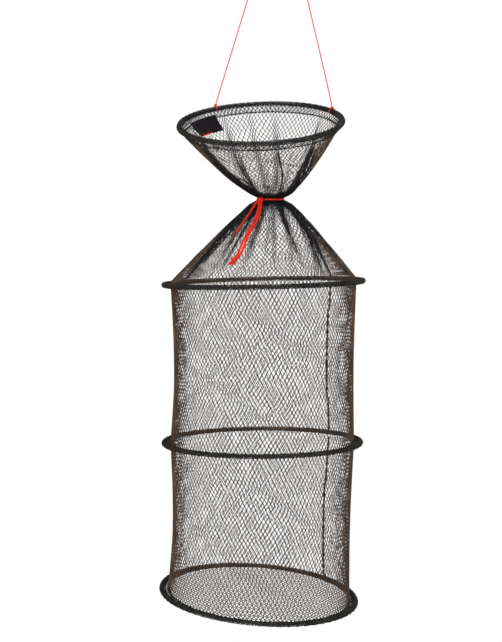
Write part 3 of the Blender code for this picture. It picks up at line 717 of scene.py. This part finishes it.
def shaded_tip_finish():
    """Painted shade on the short tail's tip: a dark red, glossy and lumpy."""
    nodes = new_finish("tail_tip_shade", 0.25)
    lumps = nodes.noise(nodes.place(), 500.0)
    nodes.colours(lumps, [(0.3, (0.10, 0.008, 0.010)), (0.7, (0.30, 0.020, 0.022))])
    nodes.spread(lumps, 0.18, 0.4, "Roughness")
    nodes.bump(lumps, 0.7, 0.0004)
    return nodes.owner


def label_finish():
    """Woven tag: navy and maroon threads that cross on the tag's own UV, with uneven wear."""
    nodes = new_finish("tag_weave", 0.85, specular=0.1)
    at = nodes.place("UV")
    weave = nodes.maths("MULTIPLY", nodes.wave(at, 70.0, "X"), nodes.wave(at, 44.0, "Y"))
    tone = nodes.total((weave, 0.45), (nodes.noise(nodes.place(), 70.0), 0.55))
    navy, plum, maroon = (0.003, 0.003, 0.007), (0.009, 0.007, 0.013), (0.045, 0.010, 0.016)
    nodes.colours(tone, [(0.25, navy), (0.55, plum), (0.85, maroon)])
    nodes.spread(weave, 0.5, 0.75, "Roughness")
    nodes.bump(weave, 0.5, 0.0002)
    return nodes.owner


def finish(piece, look, body=None, node=None):
    """Gives a piece its material and, where given, its body and the node that it replaces."""
    material, slot = look
    piece.data.materials.append(material)
    if body:
        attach(piece, body)
    if node:
        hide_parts(node)


# Materials with their slots, but for the hoops' wire
# The net twine's last colour is painted shade, laid on where the net is bunched
NETTING = twine_finish(
    "net_twine", (0.04, 0.025, 0.017), (0.088, 0.054, 0.034), (0.18, 0.12, 0.08), (0.006, 0.005, 0.008)
), "netting"
HEM = twine_finish("hem_twine", (0.01, 0.009, 0.008), (0.026, 0.023, 0.019), (0.08, 0.072, 0.058)), "hem"
LACING = twine_finish("lacing_twine", (0.005, 0.005, 0.005), (0.014, 0.013, 0.011), (0.065, 0.062, 0.05))
# The bunched neck net wears the near-black lacing twine as painted shade
SEAM, BUNCHED_IN_SHADE = (LACING, "seam_thread"), (LACING, "netting")
WIRE = wire_finish()
# The red braid's deepest colour is painted shade in the yarns' dips, its brightest painted highlight on
# their crests
RED = braid_finish("red_braid", (0.6, 0.006, 0.004), (0.98, 0.018, 0.008), (1.0, 0.075, 0.035)), "red_cord"
# Dark red painted shade for the short tail's tip
SHADED_TIP_LOOK = shaded_tip_finish(), "sealed_end"
TAG = label_finish(), "label_cloth"


# Camera and cords


def set_camera():
    """Camera in front of the net, a little pitched down."""
    camera = bpy.data.cameras.new("camera")
    camera.sensor_fit = "VERTICAL"
    camera.sensor_height = SENSOR_MM
    camera.lens = SENSOR_MM * FOCAL_LENGTH_PX / PICTURE_HEIGHT_PX
    turn = (math.radians(90 + CAMERA_PITCH), 0, 0)
    bpy.context.scene.camera = add_object("camera", camera, CAMERA_PLACE, turn)


def hang_line():
    """The thin cord: up from the left ring knot, over its bight and down to the right ring knot."""
    path = smooth_route(LINE_ROUTE, 0.002)
    square = unit(np.cross(np.subtract(LINE_ROUTE[-1], LINE_ROUTE[0]), (0, 0, 1)))
    line = cord_mesh("hanging_line", path, LINE_RADIUS, square, sides=10, relief=0.1)
    finish(line, RED, "hanger", "hanging_cord")
    length_of(path)


def tie_ring_knots():
    """At each end of the thin cord: a turn round the hem and a small overhand knot on top of it.

    The turn is an arc about the wire, slanted a little by the sine of its own angle.
    """
    place, lean, hoop_radius, _, tilt = RINGS["mouth"]
    axes = ring_axes(lean)
    seat = BEAD_RADIUS + NET_THICKNESS / 2 + SEAT_GAP
    turn = seat + LINE_RADIUS
    for hand, degrees in RING_KNOT_ANGLES.items():
        angle = math.radians(degrees)
        radius = hoop_radius * math.cos(ROUND_STEP / 2) / math.cos(angle % ROUND_STEP - ROUND_STEP / 2)
        arc = np.radians(np.linspace(RING_TURNS[hand], -RING_TURNS[hand], 60))
        around = math.radians(tilt) + arc
        slanted = angle + RING_TURN_SLANT * np.sin(arc) / radius
        path = on_ring(place, lean, radius + turn * np.cos(around), turn * np.sin(around), slanted)
        tangent = axes @ level(angle + math.pi / 2)
        loop = cord_mesh(f"{hand}_ring_turn", path, LINE_RADIUS, tangent, sides=10, relief=0.1)
        centre = on_ring(place, lean, radius, seat + RING_KNOT_RADIUS, angle)
        path = overhand(centre, RING_KNOT_RADIUS * KNOT_SPREAD, LINE_RADIUS, axes.T)
        knot = cord_mesh(f"{hand}_ring_knot_turns", path, LINE_RADIUS, axes[:, 2], sides=10, closed=True)
        finish(loop, RED, "mouth")
        finish(knot, RED, "mouth", f"{hand}_ring_knot")


def tie_drawcord():
    """The drawcord: its band round the neck and its knot on the front left."""
    axes = ring_axes(NECK[1]).T
    angle = np.radians(KNOT_ANGLE + np.linspace(13, 347, 140))
    radius = WAIST_RADIUS + SEAT_GAP + DRAWCORD_RADIUS
    path = on_ring(*NECK, radius, 0.0006 * np.sin(3 * angle), angle)
    band = cord_mesh("drawcord_band_braid", path, DRAWCORD_RADIUS, axes[2], sides=16, relief=0.12)
    centre = np.add(KNOT_PLACE, (-0.0008, -0.0012, -0.0022))
    hanging = np.array([axes[0], axes[2] * 1.35, axes[1]])
    path = overhand(centre, KNOT_RADIUS * KNOT_SPREAD, TAIL_RADIUS, hanging)
    up = (0.6, 0.7, 0.4)
    knot = cord_mesh("drawcord_knot_turns", path, TAIL_RADIUS, up, sides=14, closed=True, relief=0.1)
    finish(band, RED, "neck", "drawcord_band")
    finish(knot, RED, "neck", "drawcord_knot")


def hang_tails():
    """The drawcord's ends: two long strands down to one end knot, and a short one whose tip is dark red as
    painted shade.
    """
    across = (0.743, -0.669, 0.25)
    routes = {name: np.add(KNOT_PLACE, route) for name, route in TAIL_ROUTES.items()}
    end = np.add(KNOT_PLACE, END_KNOT_PLACE)
    path = overhand(end, END_KNOT_RADIUS * 1.02, END_KNOT_CORD_RADIUS, np.eye(3)[[1, 2, 0]])
    cord, up = END_KNOT_CORD_RADIUS, (0.4, 0.8, 0.5)
    end_knot = cord_mesh("end_knot_turns", path, cord, up, sides=14, closed=True, relief=0.1)
    finish(end_knot, RED, "tails", "long_tail_end_knot")
    random = np.random.default_rng(7)
    root = end + (-0.0040, -0.0010, -0.0035) + random.normal(0, 0.0012, (FRAY_COUNT, 3))
    tip = root + (-0.0042, -0.0008, -0.0034) + random.normal(0, 0.0014, (FRAY_COUNT, 3))
    frayed = rod_mesh("end_knot_fray", root, tip, FRAY_RADIUS, (0.3, 1.0, 0.2))
    finish(frayed, RED, "tails")
    # The short tail's tip, coloured dark red as painted shade
    path = smooth_route(routes["short_tail_tip"], 0.0005)
    swell = 1 + 0.12 * np.sin(np.linspace(0, 9, len(path)))
    shaded_tip_piece = cord_mesh("short_tail_shaded_tip", path, TAIL_RADIUS, across, sides=16, taper=swell)
    finish(shaded_tip_piece, SHADED_TIP_LOOK, "tails", "short_tail_sealed_end")
    for name, node, far_end, pieces in (
        ("long_tail_left", "long_tail_left_strand", "knot", [end_knot, frayed]),
        ("long_tail_right", "long_tail_right_strand", "knot", []),
        ("short_tail", "short_tail", "bare", [shaded_tip_piece]),
    ):
        path = smooth_route(routes[name], 0.0008)
        cord = cord_mesh(f"{name}_braid", path, TAIL_RADIUS, across, sides=16, relief=0.12)
        finish(cord, RED, "tails", node)
        length_of(path)


# Netting


def lay_seam(name, surface, step, node, bulk):
    """A seam: a cord along one line of a net, and a lacing that winds round it.

    The cord stands off the net by half its thickness, a gap and 0.6 of the cord's radius. The
    lacing is the cord's line plus an ellipse square to it.
    """
    angle = step * ROUND_STEP
    share = np.linspace(0.02, 0.98, 260)
    line, beside = (surface(np.full_like(share, angle + off), share) for off in (0, 0.01))
    out = unit(np.cross(unit(beside - line), unit(np.gradient(line, axis=0))))
    out *= np.sign(np.sum((out * (line - line.mean(axis=0)))[:, :2], axis=1))[:, None]
    path = line + out * (NET_THICKNESS / 2 + SEAT_GAP + 0.6 * SEAM_RADIUS)
    cord = cord_mesh(f"{name}_cord", path, 1.1 * SEAM_RADIUS * bulk, out, sides=8)
    turns = length_of(path) / SEAM_LACING_PITCH
    fine = np.linspace(0, 1, round(turns * 9))
    rail, first = (points_at(fine, np.linspace(0, 1, len(path)), points) for points in (path, out))
    along = unit(np.gradient(rail, axis=0))
    second = np.cross(along, first)
    wind = math.tau * turns * fine[:, None]
    coil = rail + SEAM_LACING_REACH * bulk * (np.cos(wind) * first + 1.3 * np.sin(wind) * second)
    lacing = cord_mesh(f"{name}_lacing", coil, LACING_RADIUS * bulk, along, sides=5)
    for piece in (cord, lacing):
        finish(piece, SEAM)
        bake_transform(piece)
    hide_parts(node)


def hang_nets():
    """The four panels of knotted mesh, with their seams.

    A panel is as wide as its open cells and as long as its surface's longest line. Its area
    counts the twine and not the holes.
    """
    funnel = gathered("mouth", FUNNEL_BULGE, 1, FUNNEL_FOLDS, MOUTH_CELLS)
    cone = gathered("shoulder", SHOULDER_BULGE, -1, SHOULDER_FOLDS, CELLS_AROUND)
    upper, lower = panel("shoulder", "middle"), panel("middle", "bottom")
    # Name, surface, node, seam, bodies, the body whose axis a blend would follow, and how far in from each
    # body it would start
    panels = [
        ("funnel", funnel, "funnel_net", "funnel_seam", ("mouth", "neck"), "neck", 0.055, 0.020),
        ("shoulder", cone, "shoulder_net", "shoulder_seam", ("neck", "shoulder"), "neck", 0.020, 0.010),
        ("upper", upper, "upper_body_net", "upper_side_seam", ("shoulder", "middle"), "shoulder",
         0.012, 0.016),
        ("lower", lower, "lower_body_net", "lower_side_seam", ("middle", "bottom"), "middle", 0.016, 0.020),
    ]
    for number, (name, surface, node, seam, bodies, axis, below, above) in enumerate(panels):
        lines, shares = np.linspace(0, math.tau, 12, endpoint=False), np.linspace(0, 1, 60)
        length = float(run_of(surface(*np.meshgrid(lines, shares)))[-1].max())
        cells, step, bulk = CELLS_AROUND, SIDE_SEAM_STEP, 1.0
        if bodies[0] == "mouth":
            cells, step, bulk = MOUTH_CELLS, FUNNEL_SEAM_STEP, FUNNEL_SEAM_BULK
        net = net_mesh(f"{name}_netting", surface, length, cells, seed=number)
        finish(net, NETTING)
        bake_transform(net)
        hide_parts(node)
        lay_seam(f"{seam}_sewn", surface, step, seam, bulk)


def lace_rings():
    """Each ring: its hem of wrapped mesh, the lacing that winds round the bead, and the hem's edge cord.

    The lacing is a coil about the wire whose reach and pace vary by sines. The edge cord lies by
    the hem's free edge and weaves to either side of it.
    """
    for number, (body, (place, lean, hoop_radius, hem_width, _)) in enumerate(RINGS.items()):
        surface, whole = hem(body)
        around = math.tau * hoop_radius
        cells = MOUTH_CELLS if body == "mouth" else CELLS_AROUND
        net = net_mesh(f"{body}_hem_mesh", surface, whole, cells, HEM_HALF_CELL, split=2, rough=0.10,
                       drift=0.5, seed=20 + number)
        finish(net, HEM, body, f"{body}_hem_sleeve")
        axes = ring_axes(lean)
        turns = round(around / LACING_PITCH)
        angle = np.linspace(0, math.tau, turns * 12, endpoint=False)
        wind = turns * angle + 0.5 * np.sin(41 * angle)
        uneven = 0.0004 * np.sin(67 * angle) + 0.0003 * np.sin(151 * angle)
        reach = BEAD_RADIUS + LACING_GAP + uneven
        path = on_ring(place, lean, hoop_radius + reach * np.cos(wind), reach * np.sin(wind), angle)
        tangent = level(angle + math.pi / 2) @ axes.T
        lacing = cord_mesh(f"{body}_ring_lacing", path, LACING_RADIUS, tangent, sides=5, closed=True)
        angle = np.linspace(0, math.tau, 720, endpoint=False)
        inset = hem_width - EDGE_CORD_INSET - 0.0004 * np.sin(83 * angle)
        path = on_ring(place, lean, *hem_profile(body, inset, 0.0007 * np.sin(120 * angle)), angle)
        edge = cord_mesh(f"{body}_hem_edge_cord", path, EDGE_CORD_RADIUS, axes[:, 2], sides=6, closed=True)
        for piece in (lacing, edge):
            finish(piece, SEAM, body)


def close_base():
    """The flat round net at the bottom: diamond mesh cut to a circle, each half cell a rod.

    The rods join points in rows half a cell apart that swing by turns to either side. The net
    sags by a product of a sine and a cosine.
    """
    place, lean, hoop_radius, hem_width, _ = RINGS["bottom"]
    radius = hoop_radius - hem_width
    pitch = math.tau * radius / CELLS_AROUND
    columns, rows = math.ceil(2 * radius / pitch) + 1, math.ceil(radius / HALF_CELL) + 1
    k, j = np.meshgrid(np.arange(-columns, columns + 1), np.arange(-rows, rows + 1), indexing="ij")
    swing = np.where((k + j) % 2 == 0, 1, -1) * pitch / 2 * SWING_SHARE
    x, y = k * pitch / 2 + swing, j * HALF_CELL
    inside = np.hypot(x, y) < radius - 0.0006
    keep = inside[:, :-1] & inside[:, 1:]
    sag = -0.0004 + 0.0003 * np.sin(60 * x) * np.cos(47 * y)
    axes = ring_axes(lean)
    points = place + np.stack([x, y, sag], axis=-1) @ axes.T
    net = rod_mesh("base_netting", points[:, :-1][keep], points[:, 1:][keep], TWINE_RADIUS, axes[:, 2])
    finish(net, NETTING, "bottom", "base_net")


def gather_neck():
    """The bunched net in the drawcord: its twines over the groove, and a pleated core inside them.

    The twines' radius grows from the waist to the two edges by a power of the height, and the
    edges carry pleats and ripples. The core is a turned profile whose radius carries fine pleats.
    """

    def surface(angle, along):
        height = (2 * along - 1) * (BUNDLE_HALF_HEIGHT + SEAT_GAP)
        flare = np.abs(2 * along - 1) ** 1.6
        waist = WAIST_RADIUS - TWINE_RADIUS - SEAT_GAP
        edge = BUNDLE_RADIUS - CUFF_INSET + BUNDLE_PLEAT_DEPTH * np.cos(PLEAT_COUNT * angle)
        radius = waist + (edge - waist + ripple(angle, 4 * along, *BUNDLE_RIPPLE)) * flare
        return on_ring(*NECK, radius, height, angle)

    tall = 2 * BUNDLE_HALF_HEIGHT
    twines = net_mesh("neck_gathered_twines", surface, tall, split=3, rough=0.0, drift=0.0)
    angle = np.arange(CORE_SIDES) * math.tau / CORE_SIDES
    pleats = 0.035 * np.sin(83 * angle) + 0.03 * np.cos(PLEAT_COUNT * angle) + 0.02 * np.sin(31 * angle)
    across, up = np.array(CORE_PROFILE).T[..., None]
    rings = on_ring(*NECK, WAIST_RADIUS * across * (1 + pleats), BUNDLE_HALF_HEIGHT * up, angle)
    index = numbered(*rings.shape[:2])
    poles = on_ring(*NECK, 0, BUNDLE_HALF_HEIGHT * np.array([0.5, -0.5]), 0)
    fans = np.concatenate([fan(index[0], index.size), fan(index[-1][::-1], index.size + 1)])
    points = np.concatenate([rings.reshape(-1, 3), poles])
    core = new_mesh("neck_core", points, tube_faces(index)[:, ::-1], fans)
    # Painted shade: the bunched twines and their core wear the near-black lacing twine
    finish(twines, BUNCHED_IN_SHADE, "neck")
    finish(core, BUNCHED_IN_SHADE, "neck", "neck_bundle")


def sew_label():
    """The woven tag inside the mouth hem: along the hem, then down the net's wall, with a red lower edge.

    Each column follows the hem's inner face and then the wall by distance. The cloth stands off
    it by its seat, and lifts a little towards the free edge and the corners.
    """
    place, lean, _, hem_width, _ = RINGS["mouth"]
    angle = np.linspace(LABEL_FIRST_STEP, LABEL_LAST_STEP, 61) * ROUND_STEP
    share = np.linspace(0, 1, 38)[:, None]
    along = LABEL_START + LABEL_DROP * share
    on_hem = on_ring(place, lean, *hem_profile("mouth", np.minimum(along, hem_width), 0), angle[None])
    surface = gathered("mouth", FUNNEL_BULGE, 1, [], MOUTH_CELLS)
    wall = surface(*np.meshgrid(angle, np.linspace(1, 0.6, 80)))
    run = run_of(wall)
    down = np.clip(along[:, 0] - hem_width, 0, None)
    on_wall = np.stack([points_at(down, run[:, k], wall[:, k]) for k in range(len(angle))], axis=1)
    grid = np.where(along[..., None] < hem_width, on_hem, on_wall)
    inwards = unit(np.cross(np.gradient(grid, axis=1), np.gradient(grid, axis=0)))
    inwards *= np.sign(np.sum(inwards * (place - grid), axis=-1, keepdims=True))
    across = np.linspace(-1, 1, len(angle))[None]
    off_face = HEM_TOP + SEAT_GAP + LABEL_THICKNESS / 2 + LABEL_GAP
    lift = 0.0016 * share**2 * (0.4 + np.abs(across) ** 3) + 0.0005 * np.sin(7 * across + 2 * share) * share
    grid = grid + inwards * (off_face + lift)[..., None]
    index = numbered(*grid.shape[:2])
    corners = [index[:-1, :-1], index[1:, :-1], index[1:, 1:], index[:-1, 1:]]
    uv = np.stack(np.broadcast_arrays(np.linspace(0, 2.2, len(angle))[None], share), axis=-1)
    tag = new_mesh("label_cloth", grid, np.stack(corners, axis=-1).reshape(-1, 4), uv=uv)
    shell = tag.modifiers.new("thickness", "SOLIDIFY")
    shell.thickness, shell.offset = 0.9 * LABEL_THICKNESS, 0
    finish(tag, TAG, "label", "label_tag")
    length_of(grid[0])
    hemmed, out = grid[-2, 28:58:2], inwards[-2, 28:58:2]
    edging = cord_mesh("label_edging", hemmed + out * LABEL_THICKNESS * 0.8, EDGE_CORD_RADIUS, out, sides=8)
    picks = grid[30] + inwards[30] * LABEL_THICKNESS * 0.7
    stitches = rod_mesh("label_stitches", picks[2:-3:5], picks[4:-1:5], 0.0003, (0, 0, 1))
    for piece in (edging, stitches):
        finish(piece, RED, "label")


# Surroundings


def light_stage():
    """Pale floor, white surroundings and three soft lamps.

    The floor is plainly white close to the net, where it keeps the shadow, and fades with distance
    to the white of the surroundings.
    """
    scene = bpy.context.scene
    scene.view_settings.view_transform = "Standard"
    scene.world = bpy.data.worlds.new("studio")
    sky = Nodes(scene.world, {"Color": WHITE}, "Background")
    ray = sky.add("ShaderNodeLightPath").outputs
    seen = sky.maths("MAXIMUM", ray["Is Camera Ray"], ray["Is Glossy Ray"])
    sky.spread(sky.maths("MAXIMUM", seen, ray["Is Transmission Ray"]), 0.75, 1.0, "Strength")

    corners = [(x, y, FLOOR_HEIGHT) for x, y in ((-6, -6), (6, -6), (6, 8), (-6, 8))]
    floor = new_mesh("floor", corners, [(0, 1, 2, 3)])
    pale = Nodes(bpy.data.materials.new("pale_floor"), {"Base Color": WHITE, "Roughness": 0.9})
    distance = pale.add("ShaderNodeVectorMath", operation="DISTANCE")
    pale.put(distance, 0, pale.add("ShaderNodeTexCoord").outputs["Object"])
    pale.put(distance, 1, (-0.04, 0, FLOOR_HEIGHT))
    fade = pale.add("ShaderNodeMapRange", interpolation_type="SMOOTHSTEP", Value=distance.outputs["Value"],
                    From_Min=0.2, From_Max=0.8, To_Min=0.8)
    ray = pale.add("ShaderNodeLightPath").outputs
    seen = pale.maths("MULTIPLY", ray["Is Camera Ray"], fade.outputs["Result"])
    glow = pale.add("ShaderNodeEmission", Color=WHITE)
    mix = pale.add("ShaderNodeMixShader")
    for key, value in enumerate((seen, pale.shader.outputs[0], glow.outputs[0])):
        pale.put(mix, key, value)
    pale.put(pale.tree.nodes["Material Output"], "Surface", mix.outputs[0])
    floor.data.materials.append(pale.owner)

    for name, place, power, size in (
        ("key", (-1.6, -2.4, 1.2), 26, 1.6),
        ("fill", (2, -2, 0.1), 12, 2),
        ("back", (0.3, 2.4, 1), 14, 1.8),
    ):
        lamp = bpy.data.lights.new(name, "AREA")
        lamp.energy, lamp.size = power, size
        x, y, z = np.subtract(place, LAMP_TARGET)
        turn = (math.atan2(math.hypot(x, y), z), 0, math.atan2(y, x) + math.pi / 2)
        add_object(name, lamp, place, turn)


set_camera()
hang_line()
tie_ring_knots()
tie_drawcord()
hang_tails()
hang_nets()
lace_rings()
close_base()
gather_neck()
sew_label()
light_stage()

for ring_name in RINGS:
    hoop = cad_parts[f"{ring_name}_hoop"]
    for material_slot in hoop.material_slots:
        material_slot.material = WIRE
